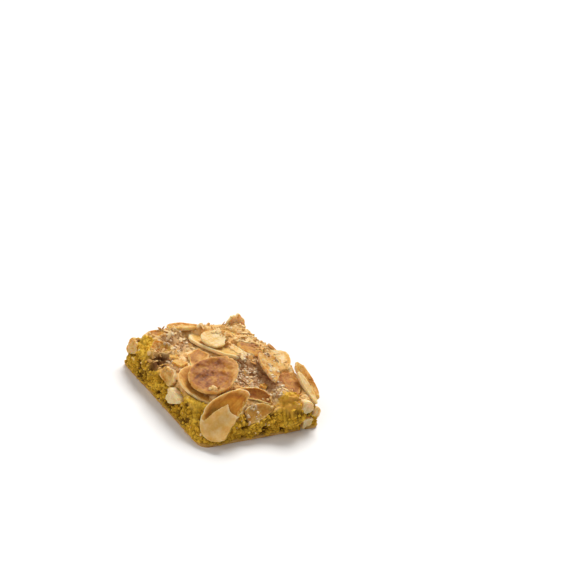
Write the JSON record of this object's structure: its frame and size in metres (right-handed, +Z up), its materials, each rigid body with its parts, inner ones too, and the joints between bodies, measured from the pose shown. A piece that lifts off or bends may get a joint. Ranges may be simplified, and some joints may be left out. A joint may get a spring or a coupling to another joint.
{
  "type": "almond biscuit",
  "caption": "Square-cut crumbly biscuit with a sugared, browned crust and sliced almonds baked onto its top and into its sides.",
  "frame": {"origin": "middle of the flat base, on the surface it lies on", "axes": "+Z up, out of the sugared top; +X along the front cut face; +Y from the front face to the back one"},
  "size_m": [0.0535, 0.0569, 0.0177],
  "materials": {
    "baked_dough": "crumbly yellow-brown crumb with a browned, sugared crust",
    "pale_almond": "smooth pale cream almond, slightly glossy",
    "golden_almond": "golden almond with browned edges, slightly glossy",
    "toasted_almond": "toasted brown almond, slightly glossy"
  },
  "bodies": {
    "root": {"dough": "baked_dough", "slice_front_corner": "pale_almond", "slice_toasted_top": "toasted_almond", "slice_pale_under": "pale_almond", "slice_front_strip": "golden_almond", "slice_front_glazed": "golden_almond", "slice_shard": "golden_almond", "slice_right_back": "golden_almond", "slice_pale_back": "pale_almond", "slice_ridge": "golden_almond", "slice_mid_right": "toasted_almond", "slice_back_right": "golden_almond", "slice_shoulder_outer": "golden_almond", "slice_shoulder_inner": "golden_almond", "slice_right_flat": "toasted_almond", "slice_orange": "golden_almond", "slice_back_edge": "golden_almond", "slice_back_left": "golden_almond", "slice_back_peak": "golden_almond", "slice_left_bits": "golden_almond", "chunk_left_corner": "pale_almond", "chunk_left_upper": "pale_almond", "chunk_left_face": "pale_almond", "chunk_front_upper": "pale_almond", "chunk_front_lower": "pale_almond"}
  },
  "joints": []
}
